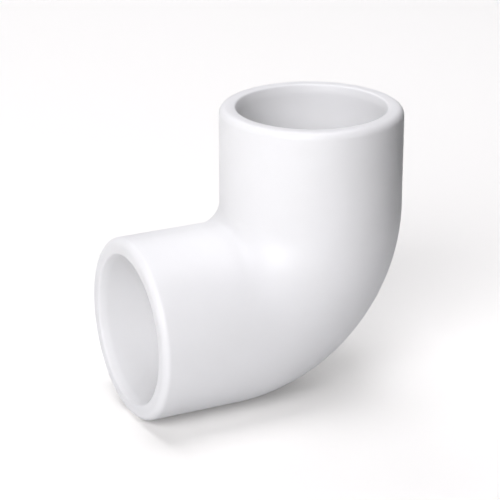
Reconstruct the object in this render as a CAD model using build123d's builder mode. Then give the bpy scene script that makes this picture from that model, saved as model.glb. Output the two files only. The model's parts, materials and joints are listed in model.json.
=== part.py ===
"""Right-angle slip elbow for 3/4 inch Schedule 40 PVC pipe, moulded in one piece.

Millimetres, +Z up. The origin is the centre of the upper socket's pipe stop, on that
socket's axis. The upper socket opens towards +Z and the side socket towards -X. Their axes
cross one laying length below the origin, in the mirror plane Y = 0.
"""

import math
import os

from build123d import *

# The pipe that the elbow joins
pipe_diameter = 26.67  # outside, 1.050 in
pipe_wall = 2.87  # 0.113 in

# Driving dimensions of the elbow
pipe_clearance = 0.05  # socket over pipe, on the diameter
socket_wall = 3.31  # round each socket
socket_depth = 22.2  # from each mouth to its pipe stop, 7/8 in
stop_land = 0.6  # straight stretch of waterway behind each pipe stop
throat_radius = 3.5  # waterway, round the inside of its bend
crotch_radius = 2.0  # outside of the wall, in the angle between the legs
rim_round = 1.35  # outer edge of each mouth
mouth_round = 0.3  # edge between each mouth's face and its lead-in
lead_in_depth = 1.6  # bevel that guides the pipe in, along the socket
lead_in_width = 0.35  # the same bevel, across the wall
stop_corner_round = 0.4  # foot of each socket, where the wall meets the stop
stop_lip_round = 0.5  # edge of each stop, where the waterway leaves it

# Worked out from them. The waterway is as wide as the pipe's own bore
socket_radius = (pipe_diameter + pipe_clearance) / 2
outer_radius = socket_radius + socket_wall
waterway_radius = pipe_diameter / 2 - pipe_wall
waterway_bend_radius = waterway_radius + throat_radius
laying_length = waterway_bend_radius + stop_land  # from the crossing of the axes to each stop
centre_to_face = laying_length + socket_depth
bend_radius = outer_radius + crotch_radius
bend_angle = 90

# Where the two socket axes cross, and the direction in which each socket opens
crossing = Vector(0, 0, -laying_length)
upper_way = Vector(0, 0, 1)
side_way = Vector(-1, 0, 0)

length_tolerance = 1e-4


def across(way, distance):
    """Plane square to a leg, at this distance from the crossing, facing the leg's mouth."""
    return Plane(origin=crossing + way * distance, x_dir=(0, 1, 0), z_dir=way)


def bend_axis(radius):
    """Axis of a bend of this centreline radius, which turns from the upper leg to the side leg."""
    return Axis(crossing + (upper_way + side_way) * radius, (0, 1, 0))


def edge_ring(part, way, distance, radius):
    """Round edges of the part that lie square to a leg, at this distance and radius."""
    centre = across(way, distance).origin
    return [
        edge
        for edge in part.edges().filter_by(GeomType.CIRCLE)
        if math.isclose(edge.radius, radius, abs_tol=length_tolerance)
        and (edge.arc_center - centre).length < length_tolerance
    ]


with BuildPart() as elbow_body:
    # Outside: a straight leg behind each mouth, joined by a quarter bend
    for way in (upper_way, side_way):
        with BuildSketch(across(way, bend_radius)):
            Circle(outer_radius)
        extrude(amount=centre_to_face - bend_radius)
    with BuildSketch(across(upper_way, bend_radius)):
        Circle(outer_radius)
    revolve(axis=bend_axis(bend_radius), revolution_arc=bend_angle)

    # Waterway: a short land behind each pipe stop, joined by a quarter bend of its own
    for way in (upper_way, side_way):
        with BuildSketch(across(way, waterway_bend_radius)):
            Circle(waterway_radius)
        extrude(amount=stop_land, mode=Mode.SUBTRACT)
    with BuildSketch(across(upper_way, waterway_bend_radius)):
        Circle(waterway_radius)
    revolve(axis=bend_axis(waterway_bend_radius), revolution_arc=bend_angle, mode=Mode.SUBTRACT)

    for way in (upper_way, side_way):
        # Socket: a wider straight bore from the mouth down to the pipe stop
        with BuildSketch(across(way, laying_length)):
            Circle(socket_radius)
        extrude(amount=socket_depth, mode=Mode.SUBTRACT)

        # Rim: a rounded outer edge, and a lead-in bevel with its own small round
        fillet(edge_ring(elbow_body, way, centre_to_face, outer_radius), radius=rim_round)
        mouth_face = elbow_body.faces().sort_by(Axis(crossing, way))[-1]
        chamfer(
            edge_ring(elbow_body, way, centre_to_face, socket_radius),
            length=lead_in_width,
            length2=lead_in_depth,
            reference=mouth_face,
        )
        flare_radius = socket_radius + lead_in_width
        fillet(edge_ring(elbow_body, way, centre_to_face, flare_radius), radius=mouth_round)

        # Pipe stop: a soft inner corner for the pipe's end, and a rounded lip on the waterway
        fillet(edge_ring(elbow_body, way, laying_length, socket_radius), radius=stop_corner_round)
        fillet(edge_ring(elbow_body, way, laying_length, waterway_radius), radius=stop_lip_round)

elbow_body.part.label = "elbow_body"

os.makedirs("parts", exist_ok=True)
export_step(elbow_body.part, "parts/elbow_body.step")
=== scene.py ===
"""Looks for a right-angle slip elbow in white rigid PVC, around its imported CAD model.

The elbow is one moulding, so one piece stands for the one CAD node. Its skin, rims, sockets,
pipe stops and waterway are spun and bevelled as the mould forms them, and it carries the small
marks that moulding leaves. Everything is in metres, in the frame of the CAD model.
"""

import json
import logging
import math
from dataclasses import dataclass, field
from enum import Enum
from typing import Any, Callable, Iterable, Sequence

import bmesh
import bpy
from mathutils import Matrix, Vector

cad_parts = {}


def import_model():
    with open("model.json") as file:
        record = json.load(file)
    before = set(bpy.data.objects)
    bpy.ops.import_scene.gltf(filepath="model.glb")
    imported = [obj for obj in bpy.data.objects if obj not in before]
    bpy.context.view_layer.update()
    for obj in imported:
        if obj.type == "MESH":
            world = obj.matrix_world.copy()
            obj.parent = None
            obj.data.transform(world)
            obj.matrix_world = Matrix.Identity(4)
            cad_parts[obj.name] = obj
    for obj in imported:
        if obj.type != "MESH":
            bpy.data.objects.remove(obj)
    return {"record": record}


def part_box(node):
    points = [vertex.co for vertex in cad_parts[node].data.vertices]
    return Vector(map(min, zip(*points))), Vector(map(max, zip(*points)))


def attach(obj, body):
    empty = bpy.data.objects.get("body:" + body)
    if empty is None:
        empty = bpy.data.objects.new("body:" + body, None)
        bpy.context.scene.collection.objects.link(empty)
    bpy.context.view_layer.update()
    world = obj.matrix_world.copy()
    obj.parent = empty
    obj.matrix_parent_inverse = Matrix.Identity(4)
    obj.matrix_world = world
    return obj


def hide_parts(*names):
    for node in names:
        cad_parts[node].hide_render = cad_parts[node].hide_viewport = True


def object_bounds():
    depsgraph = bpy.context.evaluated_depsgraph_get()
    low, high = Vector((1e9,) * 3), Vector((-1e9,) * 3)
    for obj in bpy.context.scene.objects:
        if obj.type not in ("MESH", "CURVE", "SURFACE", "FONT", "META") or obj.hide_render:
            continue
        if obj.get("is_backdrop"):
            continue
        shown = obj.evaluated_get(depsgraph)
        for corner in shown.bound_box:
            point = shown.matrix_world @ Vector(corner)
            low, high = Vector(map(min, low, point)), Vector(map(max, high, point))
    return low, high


MM = 0.001
NODE = "elbow_body"
BODY = "root"
EPSILON = 1e-6

log = logging.getLogger("elbow")


class Side(Enum):
    """Which half of the mould tool formed a face; the value is its material slot."""

    CAVITY = 0
    CORE = 1


def linear(hex_colour: str) -> tuple[float, float, float, float]:
    """Turn an sRGB hex colour into linear RGBA, by the curve that the sRGB standard gives.

    Args:
        hex_colour: six hexadecimal digits.

    Returns:
        Linear red, green and blue with an alpha of 1.
    """
    channels = [channel / 255 for channel in bytes.fromhex(hex_colour)]
    red, green, blue = (
        c / 12.92 if c <= 0.04045 else ((c + 0.055) / 1.055) ** 2.4 for c in channels
    )
    return red, green, blue, 1.0


def add_node(
    tree: bpy.types.NodeTree,
    kind: str,
    settings: dict[str, Any] | None = None,
    inputs: dict[str | int, Any] | None = None,
) -> bpy.types.Node:
    """Add a node, with its settings and its inputs.

    Args:
        tree: the node tree to add to.
        kind: the node's Blender type name.
        settings: attributes to set on the node.
        inputs: values for its input sockets, or output sockets to link to them.

    Returns:
        The new node.
    """
    node = tree.nodes.new(kind)
    for name, value in (settings or {}).items():
        setattr(node, name, value)
    for key, value in (inputs or {}).items():
        if isinstance(value, bpy.types.NodeSocket):
            tree.links.new(value, node.inputs[key])
        else:
            node.inputs[key].default_value = value
    return node


def noise(
    tree: bpy.types.NodeTree, place: bpy.types.NodeSocket, size: float, detail: float
) -> bpy.types.NodeSocket:
    """Noise of a real size, from 0 to 1.

    Args:
        tree: the node tree to add to.
        place: the coordinates that it reads.
        size: the size of its patches, in metres.
        detail: how many finer layers it has.

    Returns:
        The noise's value.
    """
    made = add_node(
        tree, "ShaderNodeTexNoise", inputs={"Vector": place, "Scale": 1 / size, "Detail": detail}
    )
    return made.outputs["Fac"]


def direction(azimuth: float, elevation: float) -> Vector:
    """Unit vector from the elbow towards a viewer or a light.

    Args:
        azimuth: degrees; 0 is in front, on the -Y side, and positive goes towards +X.
        elevation: degrees above the horizon.

    Returns:
        The direction.
    """
    turn, lift = math.radians(azimuth), math.radians(elevation)
    return Vector(
        (math.sin(turn) * math.cos(lift), -math.cos(turn) * math.cos(lift), math.sin(lift))
    )


@dataclass(frozen=True)
class SatinCavityPvc:
    """Rigid white PVC moulded against the spark-eroded steel of the cavity.

    Titanium white makes the plastic opaque, with only a trace of light carried under the
    skin. The eye sees a soft satin sheen, faint clouds where the melt flowed and cooled
    last, and a surface that shrinkage has left very slightly wavy.
    """

    name: str = "satin_cavity_moulded_pvc"
    colour: str = "F1F1F1"
    cloud_colour: str = "EDEDEC"
    cloud_size: float = 9 * MM
    cloud_detail: float = 3.0
    ior: float = 1.53
    roughness_low: float = 0.38
    roughness_high: float = 0.46
    wave_size: float = 5 * MM
    wave_height: float = 0.004 * MM
    wave_detail: float = 1.0
    grain_size: float = 0.35 * MM  # the real grain is ten times finer; drawn to show close up
    grain_height: float = 0.0003 * MM
    grain_detail: float = 2.0
    scatter_weight: float = 0.12
    scatter_depth: float = 0.5 * MM

    def material(self) -> bpy.types.Material:
        """Build the finish as a node material.

        Returns:
            A material that reads Object coordinates only.
        """
        made = bpy.data.materials.new(self.name)
        made.use_nodes = True
        tree = made.node_tree
        tree.nodes.clear()
        place = add_node(tree, "ShaderNodeTexCoord").outputs["Object"]
        clouds = noise(tree, place, self.cloud_size, self.cloud_detail)
        tint = add_node(
            tree,
            "ShaderNodeMixRGB",
            inputs={
                "Fac": clouds,
                "Color1": linear(self.colour),
                "Color2": linear(self.cloud_colour),
            },
        )
        gloss = add_node(
            tree,
            "ShaderNodeMapRange",
            inputs={
                "Value": clouds,
                "To Min": self.roughness_low,
                "To Max": self.roughness_high,
            },
        )
        wavy = add_node(
            tree,
            "ShaderNodeBump",
            inputs={
                "Height": noise(tree, place, self.wave_size, self.wave_detail),
                "Distance": self.wave_height,
            },
        )
        fine = add_node(
            tree,
            "ShaderNodeBump",
            inputs={
                "Height": self._fine_height(tree, place),
                "Distance": self.grain_height,
                "Normal": wavy.outputs["Normal"],
            },
        )
        shader = add_node(
            tree,
            "ShaderNodeBsdfPrincipled",
            inputs={
                "Base Color": tint.outputs["Color"],
                "Roughness": gloss.outputs["Result"],
                "IOR": self.ior,
                "Normal": fine.outputs["Normal"],
                "Subsurface Weight": self.scatter_weight,
                "Subsurface Scale": self.scatter_depth,
                "Subsurface Radius": (1.0, 1.0, 1.0),
            },
        )
        add_node(tree, "ShaderNodeOutputMaterial", inputs={"Surface": shader.outputs["BSDF"]})
        return made

    def _fine_height(
        self, tree: bpy.types.NodeTree, place: bpy.types.NodeSocket
    ) -> bpy.types.NodeSocket:
        """Height of the fine texture that the steel leaves: here, an even grain."""
        return noise(tree, place, self.grain_size, self.grain_detail)


@dataclass(frozen=True)
class TurnedCorePvc(SatinCavityPvc):
    """Rigid white PVC moulded against the cores, which were turned and then polished.

    The eye sees the same white, and close up the faint rings that the lathe left round each
    socket. The sockets are where solvent cement grips, so they aren't glossy.
    """

    name: str = "turned_core_moulded_pvc"
    roughness_low: float = 0.42
    roughness_high: float = 0.48
    crossing: tuple[float, float, float] = (0.0, 0.0, 0.0)
    ring_pitch: float = 0.45 * MM  # the real feed is about 0.1; drawn coarser to show
    grain_height: float = 0.0006 * MM
    grain_detail: float = 1.0

    def _fine_height(
        self, tree: bpy.types.NodeTree, place: bpy.types.NodeSocket
    ) -> bpy.types.NodeSocket:
        """Height of the lathe rings.

        They are spaced by the distance along a leg, which is the larger of Z and -X from
        the crossing.

        Args:
            tree: the node tree to add to.
            place: the coordinates that it reads.

        Returns:
            The height, from 0 to 1.
        """
        from_crossing = add_node(
            tree,
            "ShaderNodeVectorMath",
            {"operation": "SUBTRACT"},
            {0: place, 1: self.crossing},
        )
        parts = add_node(
            tree, "ShaderNodeSeparateXYZ", inputs={"Vector": from_crossing.outputs["Vector"]}
        )
        sideways = add_node(
            tree, "ShaderNodeMath", {"operation": "MULTIPLY"}, {0: parts.outputs["X"], 1: -1.0}
        )
        along = add_node(
            tree,
            "ShaderNodeMath",
            {"operation": "MAXIMUM"},
            {0: parts.outputs["Z"], 1: sideways.outputs["Value"]},
        )
        rings = add_node(
            tree,
            "ShaderNodeTexNoise",
            {"noise_dimensions": "1D"},
            {
                "W": along.outputs["Value"],
                "Scale": 1 / self.ring_pitch,
                "Detail": self.grain_detail,
            },
        )
        return rings.outputs["Fac"]


@dataclass
class ElbowMoulding:
    """The whole fitting: two legs at a right angle, each with a socket, and a quarter bend.

    A leg is described by (radius, distance) pairs: the distance is along the leg from the
    crossing of the two axes. Half the fitting is made, then mirrored in the plane that halves
    the angle between the legs.
    """

    crossing: Vector
    over_parting_line: float  # outside radius, as callipers find it
    socket_radius: float
    mouth: float
    stop: float

    waterway_radius: float = 10.465 * MM
    crotch_radius: float = 2.0 * MM
    throat_radius: float = 3.5 * MM
    rim_round: float = 1.35 * MM
    rim_facets: int = 9
    mouth_round: float = 0.3 * MM
    mouth_facets: int = 4
    lead_in_depth: float = 1.6 * MM
    lead_in_width: float = 0.35 * MM
    lead_in_facets: int = 2
    stop_corner_round: float = 0.4 * MM
    stop_corner_facets: int = 4
    stop_lip_round: float = 0.5 * MM
    stop_lip_facets: int = 5

    flash_height: float = 0.02 * MM
    core_line_height: float = 0.03 * MM
    witness_half_width: float = 0.12 * MM
    witness_reach: float = 8.0  # half widths; more than one facet of the skin
    gate_radius: float = 1.5 * MM
    gate_height: float = 0.25 * MM
    gate_shoulder: float = 0.3 * MM
    gate_surround: float = 1.0 * MM
    gate_facet: float = 0.5 * MM
    gate_cuts: int = 4

    ring_steps: int = 128
    bend_steps: int = 26
    waterway_steps: int = 16

    name: str = "elbow_moulding"
    bm: bmesh.types.BMesh = field(default_factory=bmesh.new, repr=False)

    @classmethod
    def from_frame(cls, record: dict[str, Any]) -> "ElbowMoulding":
        """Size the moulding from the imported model.

        Args:
            record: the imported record, with its mounts.

        Returns:
            A moulding whose legs, sockets and stops are where the CAD model has them.
        """
        low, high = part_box(NODE)
        mounts = {mount["name"]: mount for mount in record["mounts"]}
        upper, side = mounts["upper_socket"], mounts["side_socket"]
        crossing = Vector((upper["pos_m"][0], 0.0, side["pos_m"][2]))
        return cls(
            crossing=crossing,
            over_parting_line=high.y,
            socket_radius=upper["dims"]["r_mm"] * MM,
            mouth=high.z - crossing.z,
            stop=upper["pos_m"][2] - crossing.z,
        )

    @property
    def skin_radius(self) -> float:
        """Outside radius, away from the parting line."""
        return self.over_parting_line - self.flash_height

    @property
    def bend_radius(self) -> float:
        """Centreline radius of the outside of the bend."""
        return self.over_parting_line + self.crotch_radius

    @property
    def waterway_bend_radius(self) -> float:
        """Centreline radius of the waterway's bend."""
        return self.waterway_radius + self.throat_radius

    def build(self, finishes: Sequence[bpy.types.Material]) -> bpy.types.Object:
        """Make the moulding.

        Args:
            finishes: one material for each Side, in order.

        Returns:
            The finished object, at the origin.
        """
        self._spin_leg()
        self._round_edges()
        self._sweep_half_bend(self.skin_radius, self.bend_radius, self.bend_steps, Side.CAVITY)
        self._sweep_half_bend(
            self.waterway_radius, self.waterway_bend_radius, self.waterway_steps, Side.CORE
        )
        self._mirror_other_half()
        self._raise_parting_line()
        self._raise_core_line()
        self._raise_gate_stub()
        return self._finish_mesh(finishes)

    def _spin_leg(self) -> None:
        """Spin the upper leg's outline, skin first and then the bore, about the leg's axis."""
        flare = self.socket_radius + self.lead_in_width
        skin = [
            (self.skin_radius, self.bend_radius),
            (self.skin_radius, self.mouth),
            (flare, self.mouth),
        ]
        bore = [
            (flare, self.mouth),
            (self.socket_radius, self.mouth - self.lead_in_depth),
            (self.socket_radius, self.stop),
            (self.waterway_radius, self.stop),
            (self.waterway_radius, self.waterway_bend_radius),
        ]
        for outline, side in ((skin, Side.CAVITY), (bore, Side.CORE)):
            before = set(self.bm.faces)
            corners = [
                self.bm.verts.new(self.crossing + Vector((radius, 0.0, distance)))
                for radius, distance in outline
            ]
            edges = [self.bm.edges.new(pair) for pair in zip(corners, corners[1:])]
            bmesh.ops.spin(
                self.bm,
                geom=corners + edges,
                cent=self.crossing,
                axis=(0, 0, 1),
                angle=math.tau,
                steps=self.ring_steps,
                use_merge=True,
            )
            self._mark_new(before, side)
        self._weld()

    def _round_edges(self) -> None:
        """Bevel the leg's sharp rings into the rounds that the mould has."""
        flare = self.socket_radius + self.lead_in_width
        bevel_foot = self.mouth - self.lead_in_depth
        rounds = (
            (self.skin_radius, self.mouth, self.rim_round, self.rim_facets),
            (flare, self.mouth, self.mouth_round, self.mouth_facets),
            (self.socket_radius, bevel_foot, self.mouth_round, self.lead_in_facets),
            (self.socket_radius, self.stop, self.stop_corner_round, self.stop_corner_facets),
            (self.waterway_radius, self.stop, self.stop_lip_round, self.stop_lip_facets),
        )
        for radius, distance, size, facets in rounds:
            bmesh.ops.bevel(
                self.bm,
                geom=self._ring(radius, distance),
                offset=size,
                offset_type="OFFSET",
                segments=facets,
                profile=0.5,
                affect="EDGES",
                material=-1,
            )

    def _sweep_half_bend(self, radius: float, centreline: float, steps: int, side: Side) -> None:
        """Sweep an open ring of the leg round an eighth of a turn, to the mirror plane.

        Args:
            radius: the ring's radius.
            centreline: the bend's centreline radius, which is also the ring's distance.
            steps: how many rings the sweep makes.
            side: the half of the tool that forms it.
        """
        before = set(self.bm.faces)
        edges = self._ring(radius, centreline)
        verts = list({v for edge in edges for v in edge.verts})
        bmesh.ops.spin(
            self.bm,
            geom=verts + edges,
            cent=self.crossing + Vector((-centreline, 0.0, centreline)),
            axis=(0, 1, 0),
            angle=math.tau / 8,
            steps=steps,
        )
        self._mark_new(before, side)

    def _mirror_other_half(self) -> None:
        """Mirror the half in the plane that halves the angle between the legs, and weld it."""
        everything = list(self.bm.verts) + list(self.bm.edges) + list(self.bm.faces)
        copied = bmesh.ops.duplicate(self.bm, geom=everything)["geom"]
        verts = [v for v in copied if isinstance(v, bmesh.types.BMVert)]
        square_to_plane = Vector((1.0, 0.0, 1.0)).normalized()
        to_crossing = Matrix.Translation(-self.crossing)
        flip = Matrix.Scale(-1.0, 4, square_to_plane)
        mirror = to_crossing.inverted() @ flip @ to_crossing
        bmesh.ops.transform(self.bm, matrix=mirror, verts=verts)
        self._weld()
        bmesh.ops.recalc_face_normals(self.bm, faces=list(self.bm.faces))

    def _raise_parting_line(self) -> None:
        """Raise the fine line where the halves of the cavity met, in the plane of both legs."""

        def below_rim(place: Vector) -> bool:
            """Whether a place, given from the crossing, is short of both rim rounds."""
            return max(place.z, -place.x) < self.mouth - self.rim_round + EPSILON

        self._raise_witness(Vector((0.0, 1.0, 0.0)), Side.CAVITY, self.flash_height, below_rim)

    def _raise_core_line(self) -> None:
        """Raise the faint line in the waterway where the two cores met."""

        def inside_waterway(place: Vector) -> bool:
            """Whether a place, given from the crossing, is in the waterway's bend."""
            return max(place.z, -place.x) < self.waterway_bend_radius

        across = Vector((1.0, 0.0, 1.0)).normalized()
        self._raise_witness(across, Side.CORE, self.core_line_height, inside_waterway)

    def _raise_witness(
        self, across: Vector, side: Side, height: float, wanted: Callable[[Vector], bool]
    ) -> None:
        """Raise a fine line along the cut of a plane through the crossing.

        Args:
            across: the plane's unit normal, which is the direction across the line.
            side: the faces that carry the line.
            height: how far it stands up.
            wanted: whether a vertex, given from the crossing, is on the line.
        """
        width = self.witness_half_width
        reach = self.witness_reach * width
        for offset in (-2 * width, -width, 0.0, width, 2 * width):
            near = [
                f
                for f in self.bm.faces
                if f.material_index == side.value
                and any(abs((v.co - self.crossing).dot(across)) < reach for v in f.verts)
            ]
            edges = {e for f in near for e in f.edges}
            verts = {v for f in near for v in f.verts}
            bmesh.ops.bisect_plane(
                self.bm,
                geom=[*near, *edges, *verts],
                dist=EPSILON,
                plane_co=self.crossing + across * offset,
                plane_no=across,
            )
        self.bm.normal_update()
        raised = [
            (v, v.normal.copy())
            for v in self.bm.verts
            if abs((v.co - self.crossing).dot(across)) < EPSILON
            and all(f.material_index == side.value for f in v.link_faces)
            and wanted(v.co - self.crossing)
        ]
        for vert, normal in raised:
            vert.co += normal * height

    def _raise_gate_stub(self) -> None:
        """Raise the sheared stub of the gate, on the parting line at the heel of the bend."""
        outwards = Vector((1.0, 0.0, -1.0)).normalized()
        bend_centre = self.crossing + Vector((-self.bend_radius, 0.0, self.bend_radius))
        heel = bend_centre + outwards * (self.bend_radius + self.skin_radius)

        def faces_within(reach: float) -> list[bmesh.types.BMFace]:
            """The skin's faces whose middles are within reach of the heel."""
            return [
                f
                for f in self.bm.faces
                if f.material_index == Side.CAVITY.value
                and (f.calc_center_median() - heel).length < reach
            ]

        patch = faces_within(self.gate_radius + self.gate_surround)
        coarse = {e for f in patch for e in f.edges if e.calc_length() > self.gate_facet}
        bmesh.ops.subdivide_edges(
            self.bm,
            edges=list(coarse),
            cuts=self.gate_cuts,
            use_grid_fill=True,
        )
        self.bm.normal_update()
        near = faces_within(self.gate_radius + self.gate_facet)
        for vert in {v for f in near for v in f.verts}:
            reach = (vert.co - heel).length
            rise = min(max((self.gate_radius - reach) / self.gate_shoulder + 0.5, 0.0), 1.0)
            vert.co += outwards * self.gate_height * rise

    def _finish_mesh(self, finishes: Sequence[bpy.types.Material]) -> bpy.types.Object:
        """Turn the bmesh into an object with its materials.

        Args:
            finishes: one material for each Side, in order.

        Returns:
            The object, smooth shaded, at the origin.
        """
        mesh = bpy.data.meshes.new(self.name)
        self.bm.to_mesh(mesh)
        self.bm.free()
        mesh.shade_smooth()
        for finish in finishes:
            mesh.materials.append(finish)
        piece = bpy.data.objects.new(self.name, mesh)
        bpy.context.scene.collection.objects.link(piece)
        return piece

    def _ring(self, radius: float, distance: float) -> list[bmesh.types.BMEdge]:
        """Find a ring of the upper leg.

        Args:
            radius: the ring's radius.
            distance: its distance along the leg, from the crossing.

        Returns:
            The ring's edges.
        """

        def on_ring(vert: bmesh.types.BMVert) -> bool:
            """Whether a vertex lies on the ring."""
            place = vert.co - self.crossing
            off_axis = math.hypot(place.x, place.y)
            return abs(off_axis - radius) < EPSILON and abs(place.z - distance) < EPSILON

        return [e for e in self.bm.edges if all(on_ring(v) for v in e.verts)]

    def _mark_new(self, before: set[bmesh.types.BMFace], side: Side) -> None:
        """Give new faces the material of the side of the tool that formed them.

        Args:
            before: the faces that were there already.
            side: the side that formed the new ones.
        """
        for face in self.bm.faces:
            if face not in before:
                face.material_index = side.value

    def _weld(self) -> None:
        """Merge vertices that lie on each other."""
        bmesh.ops.remove_doubles(self.bm, verts=list(self.bm.verts), dist=EPSILON)


@dataclass(frozen=True)
class SoftLight:
    """A square studio softbox that faces the elbow."""

    name: str
    azimuth: float  # degrees round from the front, towards +X
    elevation: float  # degrees above the floor
    power: float  # watts
    colour: str = "FBFAFF"  # a touch cooler than the floor's bounce
    distance: float = 0.9
    size: float = 0.5

    def build(self, target: Vector, receivers: Sequence[bpy.types.Object] = ()) -> None:
        """Hang the softbox.

        Args:
            target: the point that it faces.
            receivers: the only objects that it lights, without shadows; none means all.
        """
        data = bpy.data.lights.new(self.name, "AREA")
        data.shape = "SQUARE"
        data.size = self.size
        data.energy = self.power
        data.color = linear(self.colour)[:3]
        # Sampled otherwise, some direct light would be stopped by the shade card and the sheet.
        data.cycles.use_multiple_importance_sampling = False
        lamp = bpy.data.objects.new(self.name, data)
        away = direction(self.azimuth, self.elevation)
        lamp.location = target + away * self.distance
        lamp.rotation_mode = "QUATERNION"
        lamp.rotation_quaternion = (-away).to_track_quat("-Z", "Y")
        lamp.visible_camera = False
        bpy.context.scene.collection.objects.link(lamp)
        if receivers:
            data.use_shadow = False
            lit = bpy.data.collections.new(self.name + "_lights")
            for receiver in receivers:
                lit.objects.link(receiver)
            lamp.light_linking.receiver_collection = lit


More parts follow.
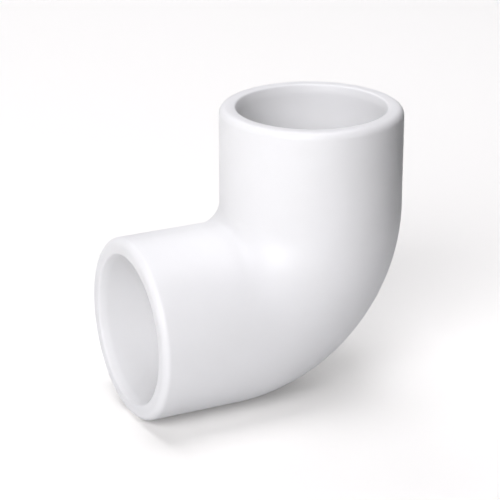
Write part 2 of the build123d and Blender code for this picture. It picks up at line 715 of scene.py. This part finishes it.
@dataclass(frozen=True)
class Studio:
    """A pale floor, a pale room, and soft light from the upper left, above and behind."""

    floor_colour: str = "FCFBF7"
    floor_width: float = 2.0
    room_colour: str = "FAFAFC"
    room_strength: float = 0.05
    horizon_strength: float = 0.8  # a pale band, so that the floor has no dark far edge
    horizon_top: float = 7.0  # degrees above the floor, where the pale band starts to fade
    horizon_end: float = 13.0  # degrees, where it has faded
    lights: tuple[SoftLight, ...] = (
        SoftLight("key_softbox", azimuth=-45, elevation=31, power=5.5),
        SoftLight("overhead_softbox", azimuth=0, elevation=90, power=3.6),
        SoftLight("back_softbox", azimuth=180, elevation=45, power=1.5),
        SoftLight("back_right_softbox", azimuth=150, elevation=45, power=0.9),
    )
    floor_wash: SoftLight = SoftLight(
        "floor_wash", azimuth=150, elevation=80, power=12.0, distance=2.5, size=2.0
    )
    card_colour: str = "303030"
    card_size: float = 0.3
    card_azimuth: float = 64.0  # degrees; it stands on the shaded side
    card_distance: float = 0.09
    sheet_colour: str = "E8E8E8"
    sheet_size: float = 0.2
    sheet_lift: float = 0.3 * MM

    def build(self, low: Vector, high: Vector) -> None:
        """Set up the studio round the elbow.

        Args:
            low: the lowest corner of the elbow's box.
            high: its highest corner.
        """
        floor = self._lay_floor(low)
        self._light_room()
        centre = (low + high) / 2
        for light in self.lights:
            light.build(centre)
        self.floor_wash.build(centre, receivers=[floor])
        self._stand_card(low, high)
        self._lay_sheet(low, high)
        bpy.context.scene.view_settings.view_transform = "Standard"

    def _lay_floor(self, low: Vector) -> bpy.types.Object:
        """Lay the floor just under the elbow.

        Args:
            low: the lowest corner of the elbow's box.

        Returns:
            The floor.
        """
        bm = bmesh.new()
        bmesh.ops.create_grid(
            bm, size=self.floor_width / 2, matrix=Matrix.Translation((0.0, 0.0, low.z))
        )
        return self._staged(bm, "studio_floor", "matt_white_floor", self.floor_colour)

    def _staged(
        self,
        bm: bmesh.types.BMesh,
        name: str,
        paint_name: str,
        colour: str,
        one_sided: bool = False,
    ) -> bpy.types.Object:
        """Make a matt piece of the studio, which isn't part of the elbow.

        Args:
            bm: its shape, which this frees.
            name: the object's name.
            paint_name: the name of its material.
            colour: its colour as sRGB hex.
            one_sided: whether light passes through it from its back.

        Returns:
            The staged object.
        """
        mesh = bpy.data.meshes.new(name)
        bm.to_mesh(mesh)
        bm.free()
        paint = bpy.data.materials.new(paint_name)
        paint.use_nodes = True
        tree = paint.node_tree
        tree.nodes.clear()
        shader = add_node(tree, "ShaderNodeBsdfDiffuse", inputs={"Color": linear(colour)})
        surface = shader.outputs["BSDF"]
        if one_sided:
            back = add_node(tree, "ShaderNodeNewGeometry").outputs["Backfacing"]
            clear = add_node(tree, "ShaderNodeBsdfTransparent").outputs["BSDF"]
            sides = add_node(tree, "ShaderNodeMixShader", inputs={0: back, 1: surface, 2: clear})
            surface = sides.outputs["Shader"]
        add_node(tree, "ShaderNodeOutputMaterial", inputs={"Surface": surface})
        mesh.materials.append(paint)
        piece = bpy.data.objects.new(name, mesh)
        bpy.context.scene.collection.objects.link(piece)
        piece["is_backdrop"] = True
        return piece

    def _stand_card(self, low: Vector, high: Vector) -> None:
        """Stand a dark card on the shaded side, which takes bounced light off the elbow.

        Args:
            low: the lowest corner of the elbow's box.
            high: its highest corner.
        """
        away = direction(self.card_azimuth, 0.0)
        centre = (low + high) / 2 + away * self.card_distance
        centre.z = low.z + self.card_size / 2
        turn = away.to_track_quat("Z", "Y").to_matrix().to_4x4()
        bm = bmesh.new()
        bmesh.ops.create_grid(
            bm, size=self.card_size / 2, matrix=Matrix.Translation(centre) @ turn
        )
        card = self._staged(bm, "shade_card", "matt_black_card", self.card_colour)
        card.visible_camera = False
        card.visible_shadow = False

    def _lay_sheet(self, low: Vector, high: Vector) -> None:
        """Lay a grey sheet on the floor, which only the elbow sees.

        The pale floor would otherwise throw too much light up at the heel.

        Args:
            low: the lowest corner of the elbow's box.
            high: its highest corner.
        """
        place = (low + high) / 2
        place.z = low.z + self.sheet_lift
        bm = bmesh.new()
        bmesh.ops.create_grid(bm, size=self.sheet_size / 2, matrix=Matrix.Translation(place))
        sheet = self._staged(
            bm, "floor_sheet", "matt_grey_sheet", self.sheet_colour, one_sided=True
        )
        sheet.visible_camera = False
        sheet.visible_shadow = False

    def _light_room(self) -> None:
        """Light the scene from the room itself, which is palest along the horizon."""
        world = bpy.data.worlds.new("pale_room")
        world.use_nodes = True
        tree = world.node_tree
        tree.nodes.clear()
        heading = add_node(tree, "ShaderNodeTexCoord").outputs["Generated"]
        height = add_node(tree, "ShaderNodeSeparateXYZ", inputs={"Vector": heading})
        strength = add_node(
            tree,
            "ShaderNodeMapRange",
            {"interpolation_type": "SMOOTHSTEP"},
            {
                "Value": height.outputs["Z"],
                "From Min": math.sin(math.radians(self.horizon_top)),
                "From Max": math.sin(math.radians(self.horizon_end)),
                "To Min": self.horizon_strength,
                "To Max": self.room_strength,
            },
        )
        glow = add_node(
            tree,
            "ShaderNodeBackground",
            inputs={"Color": linear(self.room_colour), "Strength": strength.outputs["Result"]},
        )
        add_node(tree, "ShaderNodeOutputWorld", inputs={"Surface": glow.outputs["Background"]})
        bpy.context.scene.world = world


@dataclass(frozen=True)
class ProductCamera:
    """A long lens, a little above the elbow and off to the side of its open mouth."""

    azimuth: float = -26.21
    elevation: float = 21.13
    distance: float = 364.7 * MM
    lens: float = 144.63
    sensor: float = 36.0
    clip_start: float = 0.01
    clip_end: float = 20.0
    aim_offset: tuple[float, float, float] = (-2.27 * MM, 0.0, 1.07 * MM)

    def build(self, centre: Vector) -> None:
        """Set up the scene's camera.

        Args:
            centre: the middle of the elbow's box.
        """
        data = bpy.data.cameras.new("product_camera")
        data.lens = self.lens
        data.sensor_width = self.sensor
        data.clip_start = self.clip_start
        data.clip_end = self.clip_end
        camera = bpy.data.objects.new("product_camera", data)
        away = direction(self.azimuth, self.elevation)
        camera.location = centre + Vector(self.aim_offset) + away * self.distance
        camera.rotation_mode = "QUATERNION"
        camera.rotation_quaternion = (-away).to_track_quat("-Z", "Y")
        bpy.context.scene.collection.objects.link(camera)
        bpy.context.scene.camera = camera


def main() -> None:
    """Build the elbow, dress it, and set up the studio and the camera."""
    logging.basicConfig(level=logging.INFO, format="%(name)s: %(message)s")
    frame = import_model()
    cad_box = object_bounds()
    low, high = cad_box

    moulding = ElbowMoulding.from_frame(frame["record"])
    finishes = [
        SatinCavityPvc().material(),
        TurnedCorePvc(crossing=tuple(moulding.crossing)).material(),
    ]
    piece = moulding.build(finishes)
    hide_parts(NODE)
    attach(piece, BODY)
    log.info("%s: %d faces", piece.name, len(piece.data.polygons))

    Studio().build(low, high)
    ProductCamera().build((low + high) / 2)


if __name__ == "__main__":
    main()
